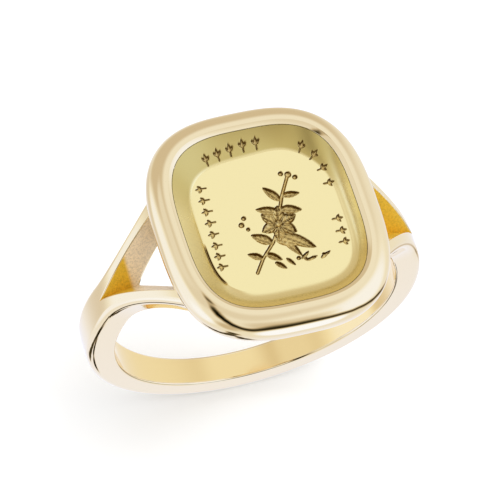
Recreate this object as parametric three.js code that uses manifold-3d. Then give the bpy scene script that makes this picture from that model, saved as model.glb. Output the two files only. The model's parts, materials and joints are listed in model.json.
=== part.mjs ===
// A split-shank signet ring with a cushion-shaped head, as its soldered pieces: shank, four shoulder
// arms, two gallery cheeks, the bezel frame, the bearer ring inside it and the seal plate.
// Millimetres. The origin is the centre of the finger hole, +Y runs along the finger and +Z points up
// to the seal face. Theta is the angle about the finger, in degrees from +Z, positive towards +X.
import * as THREE from "three";
import { mergeVertices } from "three/addons/utils/BufferGeometryUtils.js";
import Module from "manifold-3d";

// Driving dimensions
const FINGER_R = 8.6; // inside radius: a 17.2 mm ring
const SEAM = 0.02; // solder seam between neighbouring pieces
const SIDE_THICKNESS = 1.6; // the band's radial thickness beside the finger
const BASE_THICKNESS = 1.55; // and under it
const SIDE_HALF_WIDTH = 1.26; // half the band's width beside the finger
const BASE_HALF_WIDTH = 0.92; // and under it
const SIDE_TAPER = 0.1; // the band is this much narrower outside than at the finger
const OUTER_ROUND = 0.42; // rounding of the band's outer edges
const INNER_ROUND = 0.14; // rounding of its edges at the finger
const FORK_THETA = 70; // where the outer surface splits into two arms
const INNER_FORK_THETA = 57.7; // where the split has come through to the finger
const ARM_END_THETA = 30; // the arms are drawn to here, then trimmed under the head

const FACE_CENTRE_X = 0.3; // the seal face lies a little off the frame's centre
const FRAME_EDGE_Z = 8.95; // height of the frame's widest outline
const FRAME_TOP = 10.05; // its crest
const FRAME_BOTTOM = 7.92; // its flat underside, where the finger leaves room for it
const CREST_SHARE = 0.2; // the frame's crest, as a share of its width out from the opening
const UNDER_TURN = 65; // degrees that the roll turns on below the widest outline
const RIM_EDGE_Z = 9.88; // the rim's inner edge, where the recess begins
const FACE_Z = 9.03; // the flat seal face at the bottom of the recess
const STEP_Z = 8.86; // underside of the seal plate's flange, on the bearer
const PLATE_BOTTOM = FINGER_R + 0.03; // underside of the bearer and of the plate's boss

const HEAD_OUTLINE = { a: 6.6, b: 7.33, n: 2.86 };
const OPENING_OUTLINE = { a: 5.17, b: 5.77, n: 3.2 };
const FACE_OUTLINE = { a: 4.6, b: 5.3, n: 4.2, x: FACE_CENTRE_X };
const BEARER_OUTLINE = { a: 4.3, b: 4.9, n: 3.6 }; // the hole through the bearer ring
const GALLERY_OUTLINE = { a: 5.6, b: 6.1, n: 3.2 };
const GALLERY_INNER = { a: 4.8, b: 5.3, n: 3.4 };

const AROUND = 72; // points round each head outline
const CORNER_STEPS = 4; // facets on a rounded edge of the band

const rad = THREE.MathUtils.degToRad;
const polished = new THREE.MeshStandardMaterial({ color: 0xeadbb4, roughness: 0.12, metalness: 1 });
const sealGold = new THREE.MeshStandardMaterial({ color: 0xf0e2aa, roughness: 0.1, metalness: 1 });

// Superellipse outline: |x / a|^n + |y / b|^n = 1, evenly stepped in angle, counter-clockwise.
function outline({ a, b, n, x = 0 }) {
  const points = [];
  for (let i = 0; i < AROUND; i++) {
    const t = (i / AROUND) * 2 * Math.PI;
    const c = Math.cos(t);
    const s = Math.sin(t);
    const reach = (Math.abs(c / a) ** n + Math.abs(s / b) ** n) ** (-1 / n);
    points.push(new THREE.Vector2(x + reach * c, reach * s));
  }
  return points;
}

// Outline part-way from one to another, for profiles that run between them.
function between(from, to, share) {
  const mix = (key, rest = 0) => THREE.MathUtils.lerp(from[key] ?? rest, to[key] ?? rest, share);
  return { a: mix("a"), b: mix("b"), n: mix("n"), x: mix("x") };
}

// The same outline, a solder seam further out, or further in for a negative seam.
function grown(shape, seam = SEAM) {
  return { ...shape, a: shape.a + seam, b: shape.b + seam };
}

// Closed mesh over rows of points. Rows join in order; closed rows wrap round. With joined the
// last row meets the first, otherwise each end row is capped with a fan.
function loft(rows, joined) {
  const count = rows[0].length;
  const positions = rows.flat().flatMap((p) => [p.x, p.y, p.z]);
  const index = [];
  const last = joined ? rows.length : rows.length - 1;
  for (let r = 0; r < last; r++) {
    for (let i = 0; i < count; i++) {
      const a = r * count + i;
      const b = r * count + ((i + 1) % count);
      const c = ((r + 1) % rows.length) * count + ((i + 1) % count);
      const d = ((r + 1) % rows.length) * count + i;
      index.push(a, b, c, a, c, d);
    }
  }
  if (!joined) {
    for (const [r, flip] of [[0, true], [rows.length - 1, false]]) {
      const centre = rows[r].reduce((sum, p) => sum.clone().add(p)).divideScalar(count);
      const hub = positions.length / 3;
      positions.push(centre.x, centre.y, centre.z);
      for (let i = 0; i < count; i++) {
        const a = r * count + i;
        const b = r * count + ((i + 1) % count);
        index.push(...(flip ? [b, a, hub] : [a, b, hub]));
      }
    }
  }
  return new THREE.BufferGeometry()
    .setAttribute("position", new THREE.Float32BufferAttribute(positions, 3))
    .setIndex(index);
}

// Ring or disc about Z from a profile: each entry is an outline and its height.
function headPiece(profile, joined) {
  const rows = profile.map(([shape, z]) => outline(shape).map((p) => new THREE.Vector3(p.x, p.y, z)));
  return loft(rows, joined);
}

// manifold-3d solids, for cutting one piece by another.
const wasm = await Module();
wasm.setup();

function toSolid(geometry) {
  const bare = new THREE.BufferGeometry()
    .setAttribute("position", geometry.getAttribute("position").clone())
    .setIndex(geometry.index ? [...geometry.index.array] : null);
  const merged = mergeVertices(bare, 1e-4);
  const mesh = new wasm.Mesh({
    numProp: 3,
    vertProperties: merged.attributes.position.array,
    triVerts: new Uint32Array(merged.index.array),
  });
  const solid = new wasm.Manifold(mesh);
  if (solid.volume() > 0) return solid;
  mesh.triVerts = mesh.triVerts.slice().reverse();
  return new wasm.Manifold(mesh);
}

function toGeometry(solid) {
  const mesh = solid.getMesh();
  return new THREE.BufferGeometry()
    .setAttribute("position", new THREE.BufferAttribute(mesh.vertProperties, 3))
    .setIndex(new THREE.BufferAttribute(mesh.triVerts, 1));
}

function block(low, high) {
  const size = new THREE.Vector3().subVectors(high, low);
  const box = new THREE.BoxGeometry(size.x, size.y, size.z).deleteAttribute("normal");
  box.deleteAttribute("uv");
  box.translate((low.x + high.x) / 2, (low.y + high.y) / 2, (low.z + high.z) / 2);
  return toSolid(box);
}

// The band: its size at an angle theta round the finger.
const riseFromBase = (theta) => Math.min(1, Math.abs(180 - theta) / 90);

function thickness(theta) {
  return THREE.MathUtils.lerp(BASE_THICKNESS, SIDE_THICKNESS, riseFromBase(theta) ** 2);
}

function halfWidth(theta) {
  const fromTop = Math.min(theta, 360 - theta);
  const flare = 0.0055 * Math.max(0, FORK_THETA - fromTop) ** 1.74;
  return THREE.MathUtils.lerp(BASE_HALF_WIDTH, SIDE_HALF_WIDTH, riseFromBase(theta) ** 1.5) + flare;
}

// Section of the band as [y, radius] pairs: flat sides, rounded edges, counter-clockwise.
function section(theta) {
  const outer = FINGER_R + thickness(theta);
  const wide = halfWidth(theta);
  const narrow = wide - SIDE_TAPER;
  const points = [];
  const corner = (y, r, round, from) => {
    for (let i = 0; i <= CORNER_STEPS; i++) {
      const t = rad(from + (90 * i) / CORNER_STEPS);
      points.push([y + round * Math.cos(t), r + round * Math.sin(t)]);
    }
  };
  corner(narrow - OUTER_ROUND, outer - OUTER_ROUND, OUTER_ROUND, 0);
  corner(-narrow + OUTER_ROUND, outer - OUTER_ROUND, OUTER_ROUND, 90);
  corner(-wide + INNER_ROUND, FINGER_R + INNER_ROUND, INNER_ROUND, 180);
  corner(wide - INNER_ROUND, FINGER_R + INNER_ROUND, INNER_ROUND, 270);
  return points;
}

const polar = (theta, y, r) => new THREE.Vector3(r * Math.sin(rad(theta)), y, r * Math.cos(rad(theta)));

function bandPiece(from, to, stations) {
  const rows = [];
  for (let i = 0; i <= stations; i++) {
    const theta = THREE.MathUtils.lerp(from, to, i / stations);
    rows.push(section(theta).map(([y, r]) => polar(theta, y, r)));
  }
  return loft(rows, false);
}

function shank() {
  const seamTheta = THREE.MathUtils.radToDeg(SEAM / FINGER_R);
  return bandPiece(FORK_THETA + seamTheta, 360 - FORK_THETA - seamTheta, 56);
}

// The tapered opening between two arms: wider outside than at the finger, and its point slopes.
function forkOpening() {
  const STATIONS = 22;
  const LEVELS = 6;
  const deep = FINGER_R - 0.5;
  const high = FINGER_R + SIDE_THICKNESS + 0.5;
  const radii = Array.from({ length: LEVELS + 1 }, (_, i) => THREE.MathUtils.lerp(deep, high, i / LEVELS));
  const rows = [];
  for (let i = 0; i <= STATIONS; i++) {
    const share = i / STATIONS;
    const open = (FORK_THETA - ARM_END_THETA) * share;
    const inside = (INNER_FORK_THETA - ARM_END_THETA) * share;
    const outerHalf = 0.01 + 0.0295 * open ** 1.28;
    const innerHalf = 0.01 + 0.093 * inside;
    const slope = (outerHalf - innerHalf) / SIDE_THICKNESS;
    const lean = (FORK_THETA - open - (INNER_FORK_THETA - inside)) / SIDE_THICKNESS;
    const corner = (side, r) => {
      const up = r - FINGER_R;
      const y = Math.max(0.01, innerHalf + slope * up);
      return polar(INNER_FORK_THETA - inside + lean * up, side * y, r);
    };
    rows.push([...radii.map((r) => corner(1, r)), ...radii.toReversed().map((r) => corner(-1, r))]);
  }
  return toSolid(loft(rows, false));
}

// What an arm leaves free at its top end: the frame above it and the gallery cheek inside it.
function headClearance() {
  const top = 20;
  const wide = grown(HEAD_OUTLINE);
  const underside = frameUnderside().map(([shape, z]) => [grown(shape), z - SEAM]);
  const frameSpace = toSolid(headPiece([...underside, [wide, FRAME_EDGE_Z], [wide, top]], false));
  const cheek = grown(GALLERY_OUTLINE);
  return frameSpace.add(toSolid(headPiece([[cheek, 0], [cheek, top]], false)));
}

function arm(side, end) {
  const reach = 20;
  const slab = toSolid(bandPiece(FORK_THETA, ARM_END_THETA, 20));
  const half = block(
    new THREE.Vector3(0, end > 0 ? SEAM / 2 : -reach, -reach),
    new THREE.Vector3(reach, end > 0 ? reach : -SEAM / 2, reach),
  );
  const solid = slab.subtract(forkOpening()).subtract(headClearance()).intersect(half);
  return toGeometry(side > 0 ? solid : solid.mirror([1, 0, 0]));
}

function fingerSpace() {
  const finger = new THREE.CylinderGeometry(FINGER_R, FINGER_R, 40, 144);
  return toSolid(finger.deleteAttribute("normal").deleteAttribute("uv"));
}

// The wall under one side of the head, cut to the finger, that the arms are soldered to.
function galleryCheek(side) {
  const top = FRAME_BOTTOM - SEAM;
  const foot = 4;
  const profile = [
    [GALLERY_INNER, foot],
    [GALLERY_OUTLINE, foot],
    [GALLERY_OUTLINE, top],
    [GALLERY_INNER, top],
  ];
  const wall = toSolid(headPiece(profile, true));
  const inmost = 3.7; // nearer the middle the finger leaves no height for a wall
  const keep = block(new THREE.Vector3(inmost, -20, 0), new THREE.Vector3(20, 20, 20));
  const solid = wall.subtract(fingerSpace()).intersect(keep);
  return toGeometry(side > 0 ? solid : solid.mirror([1, 0, 0]));
}

// The frame's roll at a turn below (negative) or above its widest outline, as [outline, height].
function rollPoint(turn) {
  const t = rad(turn);
  const share = CREST_SHARE + (1 - CREST_SHARE) * Math.cos(t);
  const depth = (FRAME_EDGE_Z - FRAME_BOTTOM) / Math.sin(rad(UNDER_TURN));
  const reach = t < 0 ? depth : FRAME_TOP - FRAME_EDGE_Z;
  return [between(OPENING_OUTLINE, HEAD_OUTLINE, share), FRAME_EDGE_Z + reach * Math.sin(t)];
}

function frameUnderside() {
  const STEPS = 5;
  return Array.from({ length: STEPS }, (_, i) => rollPoint(-UNDER_TURN * (1 - i / STEPS)));
}

// Rounded frame: up the bulging outside from its underside, over the rim and down the inside wall,
// then scooped out below to clear the finger.
function bezelFrame() {
  const STEPS = 11;
  const profile = frameUnderside();
  for (let i = 0; i <= STEPS; i++) profile.push(rollPoint((100 * i) / STEPS));
  profile.push([OPENING_OUTLINE, RIM_EDGE_Z], [OPENING_OUTLINE, FRAME_BOTTOM]);
  return toGeometry(toSolid(headPiece(profile, true)).subtract(fingerSpace()));
}

function bearerRing() {
  const outer = grown(OPENING_OUTLINE, -SEAM);
  const top = STEP_Z - SEAM;
  const profile = [
    [BEARER_OUTLINE, PLATE_BOTTOM],
    [outer, PLATE_BOTTOM],
    [outer, top],
    [BEARER_OUTLINE, top],
  ];
  return headPiece(profile, true);
}

// Dished plate: its middle drops through the bearer, its flange rests on it, and its sloping sides
// rise from the flat seal face to the rim's edge.
function sealPlate() {
  const flange = grown(OPENING_OUTLINE, -SEAM);
  const boss = grown(BEARER_OUTLINE, -SEAM);
  const lip = between(flange, FACE_OUTLINE, 0.08);
  const top = RIM_EDGE_Z - SEAM;
  const profile = [
    [boss, PLATE_BOTTOM],
    [boss, STEP_Z],
    [flange, STEP_Z],
    [flange, top],
    [lip, top],
    [FACE_OUTLINE, FACE_Z],
  ];
  return headPiece(profile, false);
}

const ring = new THREE.Group();

function add(name, geometry, material) {
  const mesh = new THREE.Mesh(geometry, material);
  mesh.name = name;
  ring.add(mesh);
}

add("shank", shank(), polished);
for (const [sideName, side] of [["left", -1], ["right", 1]]) {
  add(`shoulder_arm_${sideName}_front`, arm(side, -1), polished);
  add(`shoulder_arm_${sideName}_rear`, arm(side, 1), polished);
  add(`gallery_cheek_${sideName}`, galleryCheek(side), polished);
}
add("bezel_frame", bezelFrame(), polished);
add("bearer_ring", bearerRing(), polished);
add("seal_plate", sealPlate(), sealGold);

export default ring;
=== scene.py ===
import json
import math

import bpy
import numpy as np
from mathutils import Matrix, Vector


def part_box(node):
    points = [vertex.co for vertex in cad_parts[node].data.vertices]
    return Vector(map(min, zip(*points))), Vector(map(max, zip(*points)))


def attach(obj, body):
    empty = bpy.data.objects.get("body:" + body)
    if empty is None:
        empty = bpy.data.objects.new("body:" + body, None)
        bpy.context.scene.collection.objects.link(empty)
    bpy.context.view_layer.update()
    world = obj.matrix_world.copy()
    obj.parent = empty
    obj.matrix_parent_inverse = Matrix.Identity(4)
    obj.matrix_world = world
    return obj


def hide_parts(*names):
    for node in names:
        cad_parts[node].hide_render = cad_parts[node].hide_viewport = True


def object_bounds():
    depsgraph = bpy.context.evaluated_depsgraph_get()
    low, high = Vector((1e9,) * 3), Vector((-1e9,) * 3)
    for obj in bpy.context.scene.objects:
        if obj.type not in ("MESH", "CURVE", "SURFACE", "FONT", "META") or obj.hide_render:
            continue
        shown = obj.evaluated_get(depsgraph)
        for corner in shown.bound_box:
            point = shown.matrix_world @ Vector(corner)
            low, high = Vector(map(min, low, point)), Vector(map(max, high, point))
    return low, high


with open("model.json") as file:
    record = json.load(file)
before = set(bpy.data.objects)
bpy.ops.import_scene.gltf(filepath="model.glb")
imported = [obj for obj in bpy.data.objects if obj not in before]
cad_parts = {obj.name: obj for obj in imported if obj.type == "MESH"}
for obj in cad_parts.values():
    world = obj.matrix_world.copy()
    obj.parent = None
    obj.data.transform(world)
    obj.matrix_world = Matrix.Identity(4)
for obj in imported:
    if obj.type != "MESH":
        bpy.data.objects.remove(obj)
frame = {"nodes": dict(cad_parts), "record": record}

CAD_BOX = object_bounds()
MM = 0.001


def box_mm(node):
    """Half-sizes in X and Y and the top of a CAD node, in millimetres from the row's origin."""
    low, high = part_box(node)
    return (high.x - low.x) / 2 / MM, (high.y - low.y) / 2 / MM, high.z / MM


# --- Sizes ---------------------------------------------------------------------------------------
FINGER_R = 8.6
BASE_R = -CAD_BOX[0][2] / MM  # outside of the band under the finger
SIDE_R = box_mm("shank")[0]  # and beside it
SIDE_HALF_WIDTH = box_mm("shank")[1]
BASE_HALF_WIDTH = 0.92
SIDE_TAPER = 0.1  # the band is this much narrower outside than at the finger
DOME = 0.05  # crown of the band's outer face
OUTER_ROUND, INNER_ROUND = 0.42, 0.16
FORK_ROUND = 0.07  # rounding of the opening's edges
SHARP = 0.003  # rounding where two pieces meet, next to none
FORK_THETA, INNER_FORK_THETA = 70.0, 57.7
ARM_END_THETA, INNER_ARM_END_THETA = 31.0, 38.0
LEAN_THETA = 112.0  # from here to the fork the stations begin to lean
FLARE, FLARE_POWER = 0.0055, 1.74  # the arms spread by this much per degree past the fork
SPLIT, SPLIT_POWER, INNER_SPLIT = 0.0295, 1.28, 0.093  # and so does the opening between them
BAND_STATIONS, ARM_STATIONS = 320, 96
WALL_POINTS = 8

HEAD_A, HEAD_B, CREST_Z = box_mm("bezel_frame")
OPENING_A, OPENING_B, LIP_TOP = box_mm("seal_plate")
SEAM_GAP = 0.02  # between soldered pieces
RIM_EDGE_Z = LIP_TOP + SEAM_GAP
# Outlines seen from above are superellipses: half-sizes in X and Y, and power.
HEAD = (HEAD_A, HEAD_B, 2.86)
RIM = (OPENING_A + SEAM_GAP, OPENING_B + SEAM_GAP, 3.2)
GALLERY_OUTER = (5.6, 6.1, 3.2)
GALLERY_INNER = (4.8, 5.3, 3.4)
GALLERY_TURN, GALLERY_STATIONS = 0.93, 120  # its wall runs this far to both sides of X, in radians
FRAME_EDGE_Z = 8.95  # height of the frame's widest outline
FRAME_BOTTOM = 7.92
CREST_SHARE = 0.2  # the crest lies this share of the way from the rim to the widest outline
UNDER_TURN, INNER_TURN, TURN_STEP = 65, 96, 3  # the roll's ends below and inside, in degrees
# The rounded edge of the rim: share of the way outwards, and drop.
RIM_ROUND = ((0.035, 0.012), (0.015, 0.02), (0.005, 0.035), (0.0, 0.06), (0.0, 0.1))
FACE_Z = frame["record"]["mounts"][0]["pos_m"][2] / MM
PLATE_BOTTOM = FINGER_R + 0.03
FACE_GRID = 310  # points each way over the seal face
FLAT_GRID_SHARE = 0.84  # share of them on its flat part
FLAT = {"centre": (0.17, 0.08), "half": (4.18, 4.33), "power": 3.8}
FLAT_SKEW = 0.06  # the flat part's rear edge comes forward on the left
FLAT_CORNER = 1.1  # its right rear corner is rounder, by this much in power
COVE_POWER, REAR_COVE_POWER = 2.1, 1.4  # how the cove curves up to the rim
REAR_SLOPE = 0.3  # it starts with a slope at the rear, and is a straight bevel on the left
SEAM_WIDTH, SEAM_DEPTH = 0.009, 0.18  # the crisp seam at the foot of the left bevel
FLANGE_Z = box_mm("bearer_ring")[2] + SEAM_GAP  # underside of the plate's flange, on the bearer
BOSS = (4.28, 4.88, 3.6)  # the plate's middle drops through the bearer
BACK_ROUND = ((0, 0.06), (0.015, 0.02), (0.05, 0), (0.08, 0))  # inset and lift of its lower edge
SUPPORT = 0.01  # spacing of the points that keep its corners crisp
CUT_DEPTH, CUT_STEEP = 0.2, 1.8  # depth for the engraving's full colour, slope for its full painted shade

VIEW_AZIMUTH, VIEW_ELEVATION, VIEW_ROLL = -28.72, 60.73, 13.45
VIEW_DISTANCE = 311.8
VIEW_RISE = 2.76  # the view's centre is this far above the finger hole's, up the picture
FIELD_SHARE = 5300 / 500  # focal length over the picture's width

FLOOR_RADIUS = 60.0
FLOOR_GLOW, FLOOR_DIFFUSE = 0.2, 0.78  # the floor glows a little, so that its shadow stays faint


# --- Meshes --------------------------------------------------------------------------------------
def mesh_piece(name, points, faces, materials, face_materials, node):
    """A smooth-shaded piece that rides on the ring and stands for its CAD node."""
    mesh = bpy.data.meshes.new(name)
    mesh.from_pydata((np.asarray(points, float) * MM).tolist(), [], faces)
    mesh.validate()
    mesh.shade_smooth()
    for material in materials:
        mesh.materials.append(material)
    if face_materials is not None:
        mesh.polygons.foreach_set("material_index", np.asarray(face_materials, np.int32))
    obj = bpy.data.objects.new(name, mesh)
    bpy.context.scene.collection.objects.link(obj)
    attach(obj, "root")
    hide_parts(node)
    return obj


def strip_faces(rows, columns, start=0, wrap_columns=True, wrap_rows=False):
    """Quads over rows of points, each row wrapped round."""
    faces = []
    for r in range(rows if wrap_rows else rows - 1):
        low, high = start + r * columns, start + ((r + 1) % rows) * columns
        for c in range(columns if wrap_columns else columns - 1):
            d = (c + 1) % columns
            faces.append((low + c, low + d, high + d, high + c))
    return faces


def capped(points, faces, rows, columns):
    """Closes the two ends with faces of their own points, so that the sides stay smoothly shaded."""
    flat = points.reshape(-1, 3)
    count = len(flat)
    first, last = points[0], points[-1]
    faces = faces + [tuple(reversed(range(count, count + columns)))]
    faces = faces + [tuple(range(count + columns, count + 2 * columns))]
    return np.concatenate([flat, first, last]), faces


def outline(shape, angles, centre_x=0.0):
    """Points of the superellipse (a, b, power) in those directions, as X and Y."""
    a, b, n = shape
    c, s = np.cos(angles), np.sin(angles)
    reach = (np.abs(c / a) ** n + np.abs(s / b) ** n) ** (-1 / n)
    return centre_x + reach * c, reach * s


def between(first, second, share):
    return tuple(p + (q - p) * share for p, q in zip(first, second))


def smooth(x):
    x = np.clip(x, 0, 1)
    return x * x * (3 - 2 * x)


def rounded(corners, radii, steps=7, support=0.02):
    """A polygon with rounded corners and a support point beside each arc, counter-clockwise."""
    out = []
    for k, (corner, radius) in enumerate(zip(corners, radii)):
        p = np.array(corner, float)
        a = np.array(corners[k - 1], float) - p
        b = np.array(corners[(k + 1) % len(corners)], float) - p
        a, b = a / np.linalg.norm(a), b / np.linalg.norm(b)
        half = math.acos(np.clip(a @ b, -1, 1)) / 2
        cut = radius / math.tan(half)
        centre = p + (a + b) / np.linalg.norm(a + b) * radius / math.sin(half)
        start, end = p + a * cut - centre, p + b * cut - centre
        out.append(p + a * (cut + support))
        turn = math.pi - 2 * half
        for i in range(steps + 1):
            w = i / steps
            mixed = (math.sin((1 - w) * turn) * start + math.sin(w * turn) * end) / math.sin(turn)
            out.append(centre + mixed)
        out.append(p + b * (cut + support))
    return np.array(out)


# --- The band and its arms -----------------------------------------------------------------------
def rise(theta):
    """0 under the finger, 1 beside it and above."""
    part = np.clip(np.abs(180 - theta) / 90, 0, 1)
    return np.sin(part * math.pi / 2) ** 2


def outer_radius(theta):
    return BASE_R + (SIDE_R - BASE_R) * rise(theta)


def side(theta, depth):
    """Half the band's width at an angle and depth."""
    from_top = np.minimum(theta, 360 - theta)
    flare = FLARE * np.maximum(0, FORK_THETA - from_top) ** FLARE_POWER
    width = BASE_HALF_WIDTH + (SIDE_HALF_WIDTH - BASE_HALF_WIDTH) * rise(theta) ** 1.3
    return width + flare - SIDE_TAPER * depth


def band_point(theta_in, theta_out, inset, depth):
    """A point of the band on a station that leans from theta_in at the finger to theta_out outside,
    inset from the +Y side face. Arrays are allowed for inset and depth."""
    theta = theta_in + (theta_out - theta_in) * depth
    y = side(theta, depth) - inset
    full = outer_radius(theta) - FINGER_R
    crown = DOME * (1 - (y / side(theta, 1.0)) ** 2) * smooth(depth * 2 - 1)
    radius = FINGER_R + full * depth + crown
    angle = np.radians(theta)
    return np.stack([radius * np.sin(angle), y, radius * np.cos(angle)], -1)


def half_section(theta_in, theta_out, wall_in, wall_out, fork_round):
    """One half of the band's section as inset and depth: from the opening's outer edge, round the
    outside and the side face, to the opening's inner edge. wall_in and wall_out are the half-widths
    left open in the middle."""
    thick = outer_radius(theta_out) - FINGER_R
    wide_in, wide_out = side(theta_in, 0) - wall_in, side(theta_out, 1) - wall_out
    corners = [(wide_out, thick), (0, thick), (0, 0), (wide_in, 0)]
    loop = rounded(corners, [fork_round, OUTER_ROUND, INNER_ROUND, fork_round])
    corner_points = len(loop) // 4
    out = []
    for k in range(4):
        out.extend(loop[k * corner_points : (k + 1) * corner_points])
        if k < 3:
            start, end = loop[(k + 1) * corner_points - 1], loop[(k + 1) * corner_points]
            out.extend(start + (end - start) * i / 5 for i in range(1, 5))
    return np.array(out) / [1, thick], corner_points


def fork_station(share):
    """Station of an arm: its two angles and the opening's two half-widths."""
    theta_out = FORK_THETA + (ARM_END_THETA - FORK_THETA) * share
    theta_in = INNER_FORK_THETA + (INNER_ARM_END_THETA - INNER_FORK_THETA) * share
    wall_out = SPLIT * (FORK_THETA - theta_out) ** SPLIT_POWER
    wall_in = INNER_SPLIT * (INNER_FORK_THETA - theta_in)
    return theta_in, theta_out, wall_in, wall_out


def arm(name, x_side, y_side, polished, satin):
    """One shoulder arm, polished outside and satin on its wall in the fork. The stations are closer
    near the fork, where the opening's edges grow from sharp to rounded."""
    rows = []
    for i in range(ARM_STATIONS + 1):
        share = (i / ARM_STATIONS) ** 1.15
        theta_in, theta_out, wall_in, wall_out = fork_station(share)
        edge = SHARP + FORK_ROUND * float(smooth(share / 0.12))
        loop, _ = half_section(theta_in, theta_out, wall_in, wall_out, edge)
        wall = [loop[-1] + (loop[0] - loop[-1]) * k / WALL_POINTS for k in range(1, WALL_POINTS)]
        loop = np.concatenate([loop, wall])
        rows.append(band_point(theta_in, theta_out, loop[:, 0], loop[:, 1]))
    points = np.array(rows)
    columns = points.shape[1]
    faces = strip_faces(len(rows), columns)
    wall_start = columns - len(wall) - 1
    indices = [1 if f[0] % columns >= wall_start else 0 for f in faces] + [0, 0]
    flat, faces = capped(points * [x_side, y_side, 1], faces, len(rows), columns)
    if x_side * y_side > 0:
        faces = [tuple(reversed(f)) for f in faces]
    return mesh_piece(name + "_body", flat, faces, [polished, satin], indices, name)


def shank(polished, inside):
    """The band from one fork, under the finger, to the other."""
    rows = []
    for i in range(BAND_STATIONS + 1):
        theta_out = FORK_THETA + (360 - 2 * FORK_THETA) * i / BAND_STATIONS
        near = min(theta_out, 360 - theta_out)
        lean_share = float(smooth((LEAN_THETA - near) / (LEAN_THETA - FORK_THETA)))
        lean = (FORK_THETA - INNER_FORK_THETA) * lean_share
        theta_in = theta_out - lean if theta_out < 180 else theta_out + lean
        loop, corner_points = half_section(theta_in, theta_out, 0, 0, SHARP)
        loop = loop[corner_points:-corner_points]
        right = band_point(theta_in, theta_out, loop[:, 0], loop[:, 1])
        rows.append(np.concatenate([right, right[::-1] * [1, -1, 1]]))
    points = np.array(rows)
    columns = points.shape[1]
    faces = strip_faces(len(rows), columns)
    inner_start = len(loop) - 5
    indices = [int(inner_start <= f[0] % columns < columns - inner_start) for f in faces] + [0, 0]
    flat, faces = capped(points, faces, len(rows), columns)
    return mesh_piece("shank_band", flat, faces, [polished, inside], indices, "shank")


# --- The head ------------------------------------------------------------------------------------
def roll_point(turn):
    """The frame's roll at a turn above or below its widest outline, as share outwards and height."""
    t = math.radians(turn)
    share = CREST_SHARE + (1 - CREST_SHARE) * math.cos(t)
    depth = (FRAME_EDGE_Z - FRAME_BOTTOM) / math.sin(math.radians(UNDER_TURN))
    return share, FRAME_EDGE_Z + (depth if t < 0 else CREST_Z - FRAME_EDGE_Z) * math.sin(t)


def head_ring(name, profile, around, materials, node):
    """A ring about Z from a closed profile of (outline, height) that clears the finger below."""
    angles = np.linspace(0, 2 * math.pi, around, endpoint=False)
    rows = []
    for shape, z in profile:
        x, y = outline(shape, angles)
        finger = np.sqrt(np.maximum(0, (FINGER_R + SEAM_GAP) ** 2 - x * x))
        rows.append(np.stack([x, y, np.maximum(z, finger)], -1))
    points = np.array(rows)
    faces = strip_faces(len(rows), around, wrap_rows=True)
    return mesh_piece(name, points.reshape(-1, 3), faces, materials, None, node)


def bezel_frame(polished):
    """The cushion-shaped frame: its roll, the rounded edge of its rim and its inner wall."""
    roll = [roll_point(turn) for turn in range(-UNDER_TURN, INNER_TURN, TURN_STEP)]
    profile = [(between(RIM, HEAD, share), z) for share, z in roll]
    for share, drop in RIM_ROUND:
        profile.append((between(RIM, HEAD, share), RIM_EDGE_Z + 0.03 - drop))
    profile += [(RIM, RIM_EDGE_Z - 0.3), (RIM, FRAME_BOTTOM)]
    return head_ring("bezel_roll", profile, 360, [polished], "bezel_frame")


def gallery(x_side, name, polished):
    """The low wall under one side of the head, its foot on the finger's circle."""
    top = FRAME_BOTTOM + 0.02
    angles = np.linspace(-GALLERY_TURN, GALLERY_TURN, GALLERY_STATIONS)
    edges = []
    shapes = (GALLERY_INNER, GALLERY_OUTER, GALLERY_OUTER, GALLERY_INNER)
    for shape, at_top in zip(shapes, (True, True, False, False)):
        x, y = outline(shape, angles)
        foot = np.sqrt(np.maximum(0, FINGER_R**2 - x**2))
        edges.append(np.stack([x, y, np.full_like(x, top) if at_top else foot], -1))
    rows = np.stack(edges, 1)
    points = rows * [x_side, 1, 1]
    flat, faces = capped(points, strip_faces(len(rows), 4), len(rows), 4)
    if x_side > 0:
        faces = [tuple(reversed(f)) for f in faces]
    obj = mesh_piece(name + "_wall", flat, faces, [polished], None, name)
    obj.data.shade_flat()
    return obj


# --- The engraving -------------------------------------------------------------------------------
def along(x, y, start, end):
    """Coordinates along (0 to 1) and across (in mm) the line from start to end."""
    dx, dy = end[0] - start[0], end[1] - start[1]
    length = math.hypot(dx, dy)
    t = ((x - start[0]) * dx + (y - start[1]) * dy) / length**2
    s = (-(x - start[0]) * dy + (y - start[1]) * dx) / length
    return t, s, length


def bowl(across):
    """Section of a cut: 1 in the middle, 0 from |across| = 1."""
    return np.sqrt(np.clip(1 - across**2, 0, 1))


def leaf_cut(x, y, start, end, width, deep, veins=0.35):
    """A hollow leaf with a raised midrib and slanting side ribs."""
    t, s, length = along(x, y, start, end)
    inside = np.clip(t, 0, 1)
    half = width / 2 * np.sin(math.pi * inside**0.8) ** 0.75 + 1e-6
    cut = deep * bowl(s / half) * ((t > 0) & (t < 1))
    rib = np.exp(-((s / 0.035) ** 2))
    side_ribs = 0.5 + 0.5 * np.cos(2 * math.pi * (t * length - np.abs(s) * 0.8) / 0.3)
    return cut * (1 - veins * rib) * (1 - veins * 0.3 * side_ribs)


def stem_cut(x, y, points, width, deep):
    cut = np.zeros_like(x)
    for start, end in zip(points, points[1:]):
        t, s, _ = along(x, y, start, end)
        u = np.clip(t, 0, 1)
        near_x, near_y = (start[k] + u * (end[k] - start[k]) for k in (0, 1))
        away = np.hypot(x - near_x, y - near_y)
        cut = np.maximum(cut, deep * bowl(away / (width / 2)))
    return cut


def berry_cut(x, y, centre, radius, deep):
    return deep * bowl(np.hypot(x - centre[0], y - centre[1]) / radius)


def turned(origin, angle, point):
    c, s = math.cos(angle), math.sin(angle)
    return origin[0] + c * point[0] - s * point[1], origin[1] + s * point[0] + c * point[1]


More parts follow.
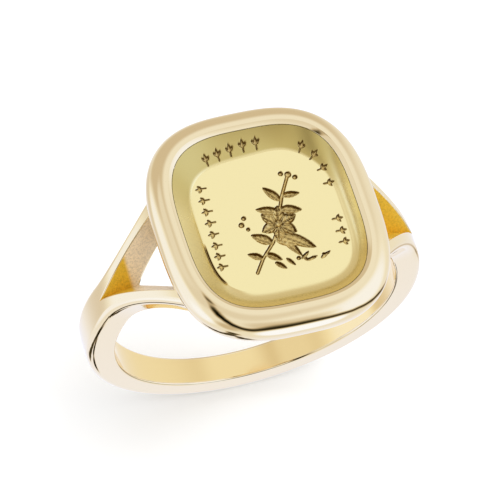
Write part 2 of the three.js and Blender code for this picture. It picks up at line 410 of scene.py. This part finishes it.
def blossom_cut(x, y, centre, radius, petals, angle):
    cut = np.zeros_like(x)
    for k in range(petals):
        turn = angle + 2 * math.pi * k / petals
        inner = turned(centre, turn, (0.16 * radius, 0))
        outer = turned(centre, turn, (radius, 0))
        cut = np.maximum(cut, leaf_cut(x, y, inner, outer, 0.62 * radius, 0.3, 0.45))
    return np.maximum(cut, berry_cut(x, y, centre, 0.2 * radius, 0.26))


# The sprig in the middle, in mm on the seal face.
SPRIG_STEM = (
    (-1.55, -3.05),
    (-0.95, -2.2),
    (-0.1, -1.35),
    (0.55, -0.4),
    (0.85, 0.5),
    (1.3, 1.5),
    (1.95, 2.6),
)
SPRIG_LEAVES = (  # foot, tip, width
    ((-0.95, -2.2), (-1.75, -1.75), 0.42),
    ((-0.7, -1.95), (0.1, -2.55), 0.42),
    ((-0.1, -1.35), (-1.2, -0.6), 0.62),
    ((0.1, -1.1), (1.35, -1.75), 0.66),
    ((0.5, -0.9), (2.25, -2.2), 0.7),
    ((0.85, 0.5), (-0.45, 0.95), 0.55),
    ((0.95, 0.7), (2.15, 0.35), 0.55),
    ((1.15, 1.2), (0.35, 2.25), 0.5),
    ((1.3, 1.5), (2.35, 1.45), 0.42),
    ((1.2, -2.75), (1.75, -2.35), 0.2),
    ((1.45, -2.9), (2.15, -2.75), 0.2),
    ((2.3, -2.95), (2.95, -2.6), 0.2),
    ((-0.35, -2.6), (0.2, -3.15), 0.3),
    ((0.35, -2.5), (0.75, -3.05), 0.22),
    ((0.5, -1.1), (1.3, -2.55), 0.45),
)
SPRIG_BERRIES = (  # centre, radius
    ((2.05, 2.75), 0.2),
    ((1.65, 2.9), 0.15),
    ((2.4, 2.5), 0.15),
    ((-1.3, 0.55), 0.14),
    ((-1.55, 0.15), 0.17),
    ((-1.25, -0.2), 0.12),
    ((1.05, -2.65), 0.13),
    ((1.45, -2.8), 0.1),
    ((2.55, -2.75), 0.12),
)
# Small trefoils round the edge: place and the direction that their stalks point, in degrees.
BORDER_MARKS = (
    (-2.36, 4.6, -80),
    (-1.62, 4.78, -82),
    (-0.85, 4.9, -85),
    (-0.05, 5.0, -88),
    (0.75, 5.0, -90),
    (3.28, 4.25, -125),
    (3.84, 3.58, -145),
    (4.11, 2.7, -165),
    (4.19, 1.7, -180),
    (3.98, -0.67, 180),
    (3.96, -1.48, 180),
    (3.92, -2.21, 180),
    (-3.14, 2.97, 0),
    (-3.17, 2.2, 0),
    (-3.2, 1.45, 0),
    (-3.23, 0.7, 0),
    (-3.27, -0.05, 0),
    (-3.3, -0.8, 0),
    (-3.34, -1.5, 0),
    (-3.38, -2.2, 0),
)


def trefoil_cut(x, y, centre, heading):
    """Three small leaves on a stalk that points the heading's way."""
    cut = np.zeros_like(x)
    near = np.hypot(x - centre[0], y - centre[1]) < 0.6
    for turn, reach in ((-55, 0.3), (0, 0.36), (55, 0.3)):
        tip = turned(centre, math.radians(heading + 180 + turn), (reach, 0))
        cut[near] = np.maximum(cut[near], leaf_cut(x[near], y[near], centre, tip, 0.17, 0.13, 0.0))
    foot = turned(centre, math.radians(heading), (0.27, 0))
    cut[near] = np.maximum(cut[near], stem_cut(x[near], y[near], (centre, foot), 0.1, 0.11))
    return cut


def engraving(x, y):
    """Depth of the engraving at each point of the seal face, in mm."""
    cut = stem_cut(x, y, SPRIG_STEM, 0.2, 0.16)
    for start, end, width in SPRIG_LEAVES:
        cut = np.maximum(cut, leaf_cut(x, y, start, end, width, 0.26))
    for centre, radius in SPRIG_BERRIES:
        cut = np.maximum(cut, berry_cut(x, y, centre, radius, 0.17))
    cut = np.maximum(cut, blossom_cut(x, y, (0.6, -0.2), 1.15, 6, 0.3))
    for mark_x, mark_y, heading in BORDER_MARKS:
        cut = np.maximum(cut, trefoil_cut(x, y, (mark_x, mark_y), heading))
    return cut


def seal_plate(polished_seal):
    """The sunk face, with the cove or bevel that rises from its flat part to the frame's edge."""
    count, flat_share = FACE_GRID, FLAT_GRID_SHARE
    line = np.linspace(-1, 1, count)
    u, v = np.meshgrid(line, line, indexing="ij")
    reach = np.maximum(np.abs(u), np.abs(v))
    angle = np.arctan2(v * RIM[1], u * RIM[0])
    corner = smooth(np.sin(angle) * 1.4) * smooth(np.cos(angle) * 1.4)
    flat_x, flat_y = outline((*FLAT["half"], FLAT["power"] - FLAT_CORNER * corner), angle)
    flat_y = flat_y + FLAT_SKEW * flat_x * smooth(flat_y / FLAT["half"][1])
    flat_x, flat_y = flat_x + FLAT["centre"][0], flat_y + FLAT["centre"][1]
    rim_x, rim_y = outline((OPENING_A, OPENING_B, RIM[2]), angle)
    inner = np.clip(reach / flat_share, 0, 1)
    outer = np.clip((reach - flat_share) / (1 - flat_share), 0, 1)
    x = flat_x * inner + (rim_x - flat_x) * outer
    y = flat_y * inner + (rim_y - flat_y) * outer
    leftness = smooth(-np.cos(angle) * 2.2 - 0.9)
    rearness = smooth(np.sin(angle) * 2.2 - 1.0)
    start_slope = leftness + REAR_SLOPE * rearness
    power = COVE_POWER + (REAR_COVE_POWER - COVE_POWER) * rearness
    lift = start_slope * outer + (1 - start_slope) * outer**power
    z = FACE_Z + (LIP_TOP - FACE_Z) * lift
    cut = engraving(x, y)
    seam = np.exp(-(((reach - flat_share) / SEAM_WIDTH) ** 2))
    seam *= smooth((-np.cos(angle) - 0.71) * 14) * smooth((-np.sin(angle) - 0.12) * 6)
    cut = np.maximum(cut, SEAM_DEPTH * seam)
    points = np.stack([x, y, z - cut], -1).reshape(-1, 3)
    starts = (i * count + j for i in range(count - 1) for j in range(count - 1))
    faces = [(a, a + count, a + count + 1, a + 1) for a in starts]
    obj = mesh_piece("seal_face", points, faces, [polished_seal], None, "seal_plate")
    # Share of painted shade on the cove, most at the back; it also softens the polish there.
    backness = smooth(np.sin(angle) * 2 - 0.3)
    cove = smooth(outer * (2 + 4 * backness)) * (0.25 + 0.75 * backness)
    # Slope of the cuts, which sets the painted shade on their steep sides.
    steep = np.hypot(*(np.gradient(cut, axis=k) for k in (0, 1))) * count / (2 * OPENING_A)
    shares = {"cut": cut / CUT_DEPTH, "cut_wall": steep / CUT_STEEP, "cove": cove}
    for name, share in shares.items():
        values = obj.data.attributes.new(name, "FLOAT", "POINT")
        values.data.foreach_set("value", np.clip(share, 0, 1).astype(np.float32).ravel())
    return obj


def seal_back(polished):
    """The plate's edge, flange and plain back, which drops through the bearer."""
    angles = np.linspace(0, 2 * math.pi, 240, endpoint=False)
    edge = (OPENING_A - 0.01, OPENING_B - 0.01, RIM[2])
    profile = [(edge, LIP_TOP - 0.1), (edge, FLANGE_Z + SUPPORT), (edge, FLANGE_Z)]
    profile += [(BOSS, FLANGE_Z), (BOSS, FLANGE_Z - SUPPORT)]
    for inset, lift in BACK_ROUND:
        shape = (BOSS[0] - inset, BOSS[1] - inset, BOSS[2])
        profile.append((shape, PLATE_BOTTOM + lift))
    rows = []
    for shape, z in profile:
        x, y = outline(shape, angles)
        rows.append(np.stack([x, y, np.full_like(x, z)], -1))
    points = np.array(rows)
    faces = [tuple(reversed(f)) for f in strip_faces(len(rows), len(angles))]
    flat = np.concatenate([points.reshape(-1, 3), points[-1]])
    count = len(flat) - len(angles)
    faces.append(tuple(reversed(range(count, len(flat)))))
    return mesh_piece("seal_back", flat, faces, [polished], None, "seal_plate")


# --- Materials -----------------------------------------------------------------------------------
class Nodes:
    """Short calls for a node tree."""

    def __init__(self, tree):
        self.tree = tree

    def add(self, kind, values=None, **settings):
        node = self.tree.nodes.new(kind)
        for key, value in settings.items():
            setattr(node, key, value)
        for key, value in (values or {}).items():
            if isinstance(value, bpy.types.NodeSocket):
                self.tree.links.new(value, node.inputs[key])
            else:
                node.inputs[key].default_value = value
        return node

    def math(self, operation, a, b=0.0, c=0.0):
        return self.add("ShaderNodeMath", {0: a, 1: b, 2: c}, operation=operation).outputs[0]

    def ramp(self, factor, stops, interpolation="LINEAR"):
        node = self.add("ShaderNodeValToRGB", {0: factor})
        node.color_ramp.interpolation = interpolation
        points = node.color_ramp.elements
        while len(points) < len(stops):
            points.new(0.5)
        for point, (position, value) in zip(points, stops):
            point.position = position
            point.color = (value, value, value, 1) if isinstance(value, float) else (*value, 1)
        return node.outputs[0]

    def noise(self, scale, detail=3.0, roughness=0.5):
        """Noise over the piece, with scale in waves per millimetre."""
        place = self.add("ShaderNodeTexCoord").outputs["Object"]
        values = {"Vector": place, "Scale": scale / MM, "Detail": detail, "Roughness": roughness}
        return self.add("ShaderNodeTexNoise", values).outputs["Fac"]


def new_material(name):
    material = bpy.data.materials.new(name)
    material.use_nodes = True
    tree = material.node_tree
    tree.nodes.clear()
    nodes = Nodes(tree)
    shader = nodes.add("ShaderNodeBsdfPrincipled", {"Metallic": 1.0})
    nodes.add("ShaderNodeOutputMaterial", {"Surface": shader.outputs[0]})
    return material, nodes, shader


def polished_gold(name, colour, roughness):
    """Bright polish with the faint drag marks and ripple that a buffing wheel leaves."""
    material, nodes, shader = new_material(name)
    shader.inputs["Base Color"].default_value = (*colour, 1)
    marks = nodes.noise(3.5, 5.0, 0.65)
    spread = {"Value": marks, "From Min": 0.3, "From Max": 0.7}
    spread |= {"To Min": roughness * 0.7, "To Max": roughness * 1.5}
    rough = nodes.add("ShaderNodeMapRange", spread).outputs[0]
    nodes.tree.links.new(rough, shader.inputs["Roughness"])
    ripple = {"Height": nodes.noise(0.9, 2.0), "Strength": 0.06, "Distance": 0.02 * MM}
    bump = nodes.add("ShaderNodeBump", ripple)
    nodes.tree.links.new(bump.outputs[0], shader.inputs["Normal"])
    return material


def satin_gold(name, colour, bounce_light_colour):
    """Fine-blasted gold with a sandy grain of about 0.05 mm. Down in the fork its colour turns
    amber:
    painted light, standing for the light that bounces between the walls."""
    material, nodes, shader = new_material(name)
    grain = nodes.noise(8.0, 4.0, 0.75)
    place = nodes.add("ShaderNodeTexCoord").outputs["Object"]
    across, _, up = nodes.add("ShaderNodeSeparateXYZ", {0: place}).outputs
    # Painted light: the colour turns amber low in the fork, standing for light bounced between the
    # walls.
    reach = nodes.math("MULTIPLY_ADD", across, BOUNCE_LIGHT_BIAS, nodes.math("ABSOLUTE", across))
    reach = nodes.math("MULTIPLY_ADD", up, -BOUNCE_LIGHT_LEAN, reach)
    blend = {"Value": reach, "From Min": BOUNCE_LIGHT_REACH[1] * MM, "From Max": BOUNCE_LIGHT_REACH[0] * MM}
    share = nodes.add("ShaderNodeMapRange", blend, interpolation_type="SMOOTHSTEP").outputs[0]
    colours = {"Factor": share, 6: (*bounce_light_colour, 1), 7: (*colour, 1)}
    tint = nodes.add("ShaderNodeMix", colours, data_type="RGBA")
    shade = nodes.ramp(grain, [(0.32, 0.68), (0.58, 1.0)])
    grained = {"Factor": 1.0, 6: tint.outputs[2], 7: shade}
    tinted = nodes.add("ShaderNodeMix", grained, data_type="RGBA", blend_type="MULTIPLY")
    nodes.tree.links.new(tinted.outputs[2], shader.inputs["Base Color"])
    shader.inputs["Metallic"].default_value = 0.4
    shader.inputs["Roughness"].default_value = 0.55
    bump = nodes.add("ShaderNodeBump", {"Height": grain, "Strength": 0.5, "Distance": 0.03 * MM})
    nodes.tree.links.new(bump.outputs[0], shader.inputs["Normal"])
    return material


def seal_gold(name, colour, cut_colour, wall_shade_colour, cove_shade_colour):
    """Mirror-polished face, softer on the cove round it, where painted shade darkens it, most at the
    back. The cuts are matt, with painted shade that makes them darkest on their steep sides."""
    material, nodes, shader = new_material(name)

    def shares(attribute):
        return nodes.add("ShaderNodeAttribute", attribute_name=attribute).outputs["Fac"]

    def blend(factor, first, second):
        values = {"Factor": factor, 6: first, 7: second}
        return nodes.add("ShaderNodeMix", values, data_type="RGBA").outputs[2]

    cut, wall, cove = shares("cut"), shares("cut_wall"), shares("cove")

    grain = nodes.noise(9.0, 4.0, 0.7)
    within = nodes.ramp(cut, [(0.0, 0.0), (0.1, 1.0)])
    # Painted shade: the cove turns darker olive gold, most at the back.
    plain = blend(cove, (*colour, 1), (*cove_shade_colour, 1))
    # Painted shade: the cuts turn dark brown on their steep sides, with random grain through it.
    grain_and_wall_shade = nodes.math("MULTIPLY_ADD", grain, 0.5, nodes.math("SUBTRACT", wall, 0.25))
    carved = blend(grain_and_wall_shade, (*cut_colour, 1), (*wall_shade_colour, 1))
    nodes.tree.links.new(blend(within, plain, carved), shader.inputs["Base Color"])
    soft = nodes.math("MULTIPLY_ADD", nodes.math("POWER", cove, 0.3), 0.32, 0.05)
    rough = nodes.math("MULTIPLY_ADD", within, 0.17, soft)
    nodes.tree.links.new(rough, shader.inputs["Roughness"])
    height = nodes.math("MULTIPLY", grain, within)
    bump = nodes.add("ShaderNodeBump", {"Height": height, "Strength": 0.4, "Distance": 0.03 * MM})
    nodes.tree.links.new(bump.outputs[0], shader.inputs["Normal"])
    return material


# --- Stage, light and camera ---------------------------------------------------------------------
def make_floor(height):
    """A pale floor that just touches the ring's base."""
    steps = 96
    angles = [2 * math.pi * i / steps for i in range(steps)]
    radius = FLOOR_RADIUS * MM
    ring = [(radius * math.cos(a), radius * math.sin(a), height) for a in angles]
    mesh = bpy.data.meshes.new("floor")
    mesh.from_pydata(ring, [], [tuple(range(steps))])
    material = bpy.data.materials.new("pale_floor")
    material.use_nodes = True
    material.node_tree.nodes.clear()
    nodes = Nodes(material.node_tree)
    lit = nodes.add("ShaderNodeBsdfDiffuse", {"Color": (FLOOR_DIFFUSE,) * 3 + (1,)})
    glow = nodes.add("ShaderNodeEmission", {"Color": (1, 1, 1, 1), "Strength": FLOOR_GLOW})
    both = nodes.add("ShaderNodeAddShader", {0: lit.outputs[0], 1: glow.outputs[0]})
    nodes.add("ShaderNodeOutputMaterial", {"Surface": both.outputs[0]})
    mesh.materials.append(material)
    floor = bpy.data.objects.new("floor", mesh)
    floor.visible_glossy = False
    bpy.context.scene.collection.objects.link(floor)


def direction(azimuth, elevation):
    """Unit vector towards a place round the ring; azimuth 0 is in front, 90 on the right."""
    a, e = math.radians(azimuth), math.radians(elevation)
    return Vector((math.sin(a) * math.cos(e), -math.cos(a) * math.cos(e), math.sin(e)))


# Broad soft parts of the light tent, painted over each other in this order: azimuth, elevation,
# radius of the full effect and of its fade-out (degrees), level of light.
TENT_LEVEL = 0.86
TENT_PARTS = (
    (180, 25, 25, 70, 0.6),  # the dim open rear
    (-158, 20, 22, 42, 0.6),
    (-100, 50, 8, 30, 0.74),
    (-98, -8, 22, 46, 1.02),  # softbox on the left
    (-72, -8, 8, 26, 1.1),
    (-132, -40, 12, 30, 0.7),
    (-130, 47, 6, 20, 0.8),
    (-38, 4, 5, 24, 0.55),
    (62, 26, 18, 55, 1.06),  # softbox on the right
    (5, 40, 5, 26, 0.66),
    (0, 90, 12, 34, 0.74),
    (0, -90, 25, 60, 0.93),  # the table below
    (12, -10, 12, 26, 1.15),  # white card in front
    (150, -38, 8, 16, 1.15),
    (VIEW_AZIMUTH + 180, VIEW_ELEVATION, 11, 34, 0.88),  # overhead card, mirrored by the seal face
    (-30, -31, 3, 11, 0.05),  # the dark edge of the card that the ring stands on
    (-32, -42, 4, 7, 0.1),
    (-35, -50, 4, 7, 0.08),
    (-40, -57, 4, 7, 0.08),
    (-50, -62, 4, 7, 0.05),
    (-63, -67, 4, 7, 0.05),
    (-80, -71, 3, 7, 0.1),
    (-24, -53, 3, 7, 0.0),
    (-15, -62, 3, 7, 0.0),
    (-7, -71, 3, 7, 0.0),
)
# The dark gap round the tent's mouth: azimuth, elevation of its darkest line, reach of its fade
# above and below (degrees), darkness.
GAP = (
    (-180, 74, 3, 3, 0.0),
    (-150, 74, 3, 3, 0.2),
    (-120, 73, 4, 4, 0.85),
    (-95, 69, 5, 5, 0.4),
    (-80, 63, 7, 7, 0.85),
    (-62, 52, 12, 12, 1.0),
    (-48, 42, 12, 12, 1.0),
    (-36, 31, 12, 12, 1.0),
    (-24, 21, 10, 11, 0.98),
    (-12, 14, 11, 11, 0.97),
    (0, 18, 14, 9, 0.97),
    (10, 20, 17, 8, 0.97),
    (20, 16, 13, 8, 0.95),
    (32, 4, 10, 8, 0.94),
    (45, -9, 9, 8, 0.94),
    (60, -24, 8, 8, 0.95),
    (75, -34, 7, 7, 0.95),
    (86, -41, 6, 6, 0.85),
    (98, -47, 5, 5, 0.4),
    (110, -52, 4, 4, 0.0),
)
# Colour of the light by its level: warm where it is dim, cool in the softboxes.
LIGHT_COLOURS = (
    (0.0, (0.0, 0.0, 0.0)),
    (0.06, (0.055, 0.045, 0.018)),
    (0.55, (0.64, 0.545, 0.4)),
    (0.9, (0.94, 0.95, 0.92)),
    (1.15, (1.06, 1.19, 1.58)),
)
TOP_LEVEL = 1.2
TABLE_TINT = (1.0, 1.01, 1.16)  # cool light from the table
TABLE_FADE = (-15.0, -55.0)  # elevations at which it begins and is full
KEY_AZIMUTH, KEY_ELEVATION, KEY_SPREAD, KEY_STRENGTH = 88, 66, 45, 1.7


def make_world():
    """A light tent: soft parts of different brightness, and the dark gap at its mouth. The camera
    and the floor see plain white."""
    world = bpy.data.worlds.new("light_tent")
    bpy.context.scene.world = world
    world.use_nodes = True
    world.node_tree.nodes.clear()
    nodes = Nodes(world.node_tree)
    place = nodes.add("ShaderNodeTexCoord").outputs["Generated"]
    split = nodes.add("ShaderNodeSeparateXYZ", {0: place})
    x, y, z = (split.outputs[k] for k in range(3))
    forward = nodes.math("MULTIPLY", y, -1.0)
    bearing = nodes.math("MULTIPLY_ADD", nodes.math("ARCTAN2", x, forward), 0.5 / math.pi, 0.5)
    elevation = nodes.math("MULTIPLY", nodes.math("ARCSINE", z), 180 / math.pi)

    level = TENT_LEVEL
    for azimuth, height, full, fade, part_level in TENT_PARTS:
        towards = direction(azimuth, height)
        facing = nodes.add("ShaderNodeVectorMath", {0: place, 1: towards}, operation="DOT_PRODUCT")
        angle = nodes.math("ARCCOSINE", nodes.math("MINIMUM", facing.outputs["Value"], 1.0))
        share = nodes.add(
            "ShaderNodeMapRange",
            {"Value": angle, "From Min": math.radians(fade), "From Max": math.radians(full)},
            interpolation_type="SMOOTHERSTEP",
        )
        mix = {"Factor": share.outputs[0], 2: level, 3: part_level}
        level = nodes.add("ShaderNodeMix", mix).outputs[0]

    def by_bearing(column, scale):
        """One column of GAP as a smooth function of the azimuth."""
        stops = [((row[0] + 180) / 360, row[column] / scale + 0.5) for row in GAP]
        value = nodes.ramp(bearing, stops, "CARDINAL")
        return nodes.math("MULTIPLY_ADD", value, float(scale), -0.5 * scale)

    off = nodes.math("SUBTRACT", elevation, by_bearing(1, 180))
    above = nodes.math("GREATER_THAN", off, 0.0)
    reach = {"Factor": above, 2: by_bearing(3, 60), 3: by_bearing(2, 60)}
    scaled = nodes.math("DIVIDE", off, nodes.add("ShaderNodeMix", reach).outputs[0])
    cubed = nodes.math("POWER", nodes.math("ABSOLUTE", scaled), 3.0)
    fall = nodes.math("EXPONENT", nodes.math("MULTIPLY", cubed, -1.0))
    gap = nodes.math("SUBTRACT", 1.0, nodes.math("MULTIPLY", fall, by_bearing(4, 2)))
    level = nodes.math("MULTIPLY", level, gap)

    colours = [(at_level / TOP_LEVEL, colour) for at_level, colour in LIGHT_COLOURS]
    colour = nodes.ramp(nodes.math("MULTIPLY", level, 1 / TOP_LEVEL), colours)
    low = {"Value": elevation, "From Min": TABLE_FADE[0], "From Max": TABLE_FADE[1]}
    low = nodes.add("ShaderNodeMapRange", low).outputs[0]
    cool = {"Factor": low, 6: colour, 7: (*TABLE_TINT, 1)}
    colour = nodes.add("ShaderNodeMix", cool, data_type="RGBA", blend_type="MULTIPLY").outputs[2]
    ray = nodes.add("ShaderNodeLightPath").outputs
    seen = nodes.math("MAXIMUM", ray["Is Camera Ray"], ray["Is Diffuse Ray"])
    tent = nodes.add("ShaderNodeBackground", {"Color": colour, "Strength": 1.0})
    white = nodes.add("ShaderNodeBackground", {"Color": (1, 1, 1, 1), "Strength": 1.0})
    mixed = nodes.add("ShaderNodeMixShader", {0: seen, 1: tent.outputs[0], 2: white.outputs[0]})
    nodes.add("ShaderNodeOutputWorld", {"Surface": mixed.outputs[0]})


def make_key_light():
    """A wide soft key from the right. It lights the floor and leaves no hot spot on the gold."""
    light = bpy.data.lights.new("key", "SUN")
    light.energy = KEY_STRENGTH
    light.angle = math.radians(KEY_SPREAD)
    key = bpy.data.objects.new("key", light)
    key.rotation_mode = "QUATERNION"
    towards = direction(KEY_AZIMUTH, KEY_ELEVATION)
    key.rotation_quaternion = towards.to_track_quat("Z", "Y")
    key.visible_glossy = False
    bpy.context.scene.collection.objects.link(key)


def make_camera():
    data = bpy.data.cameras.new("camera")
    data.sensor_width = 36.0
    data.lens = FIELD_SHARE * data.sensor_width
    data.clip_start, data.clip_end = 0.01, 10.0
    back = direction(VIEW_AZIMUTH, VIEW_ELEVATION)
    azimuth, roll = math.radians(VIEW_AZIMUTH), math.radians(VIEW_ROLL)
    level = Vector((math.cos(azimuth), math.sin(azimuth), 0))
    right = level * math.cos(roll) + back.cross(level) * math.sin(roll)
    up = back.cross(right)
    place = back * VIEW_DISTANCE * MM
    back = (place - up * VIEW_RISE * MM).normalized()
    up = back.cross(right).normalized()
    camera = bpy.data.objects.new("camera", data)
    camera.matrix_world = Matrix.Translation(place) @ Matrix((right, up, back)).transposed().to_4x4()
    bpy.context.scene.collection.objects.link(camera)
    bpy.context.scene.camera = camera


# --- The scene -----------------------------------------------------------------------------------
GOLD = (0.93, 0.8, 0.56)
INNER_GOLD = (0.95, 0.75, 0.4)
# The seal face's gold is a brighter, yellower copy of the frame's: painted light for the brighter
# light that the face mirrors.
SEAL_LIT_GOLD = (0.98, 0.86, 0.49)
# The satin's own colour, and the painted amber light that stands for bounces down in the fork.
SATIN, SATIN_BOUNCE_LIGHT = (1.0, 0.83, 0.58), (0.85, 0.54, 0.04)
# The painted amber light down in the forks, standing for light bounced between the walls, begins
# between these distances from the middle, in mm. It lies further out the higher it is, and reaches
# further in on the right.
BOUNCE_LIGHT_REACH, BOUNCE_LIGHT_LEAN, BOUNCE_LIGHT_BIAS = (6.1, 6.4), 0.2, 0.065
# The cuts' own matt brown-gold, the painted shade on their steep sides, and the painted shade on the
# cove.
CUT, CUT_WALL_SHADE, COVE_SHADE = (0.86, 0.66, 0.28), (0.16, 0.085, 0.015), (0.66, 0.53, 0.2)

make_camera()
make_world()
make_key_light()

gold = polished_gold("polished_gold", GOLD, 0.045)
inner = polished_gold("inner_gold", INNER_GOLD, 0.07)
satin = satin_gold("satin_gold", SATIN, SATIN_BOUNCE_LIGHT)
seal = seal_gold("seal_gold", SEAL_LIT_GOLD, CUT, CUT_WALL_SHADE, COVE_SHADE)

shank(gold, inner)
for side_name, x_side in (("left", -1), ("right", 1)):
    for end_name, y_side in (("front", -1), ("rear", 1)):
        arm(f"shoulder_arm_{side_name}_{end_name}", x_side, y_side, gold, satin)
    gallery(x_side, f"gallery_cheek_{side_name}", gold)
bezel_frame(gold)
seal_plate(seal)
seal_back(inner)
bearer = frame["nodes"]["bearer_ring"]
bearer.data.materials.clear()
bearer.data.materials.append(gold)

scene = bpy.context.scene
scene.view_settings.view_transform = "Standard"
scene.view_settings.look = "None"

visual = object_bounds()
make_floor(visual[0][2])
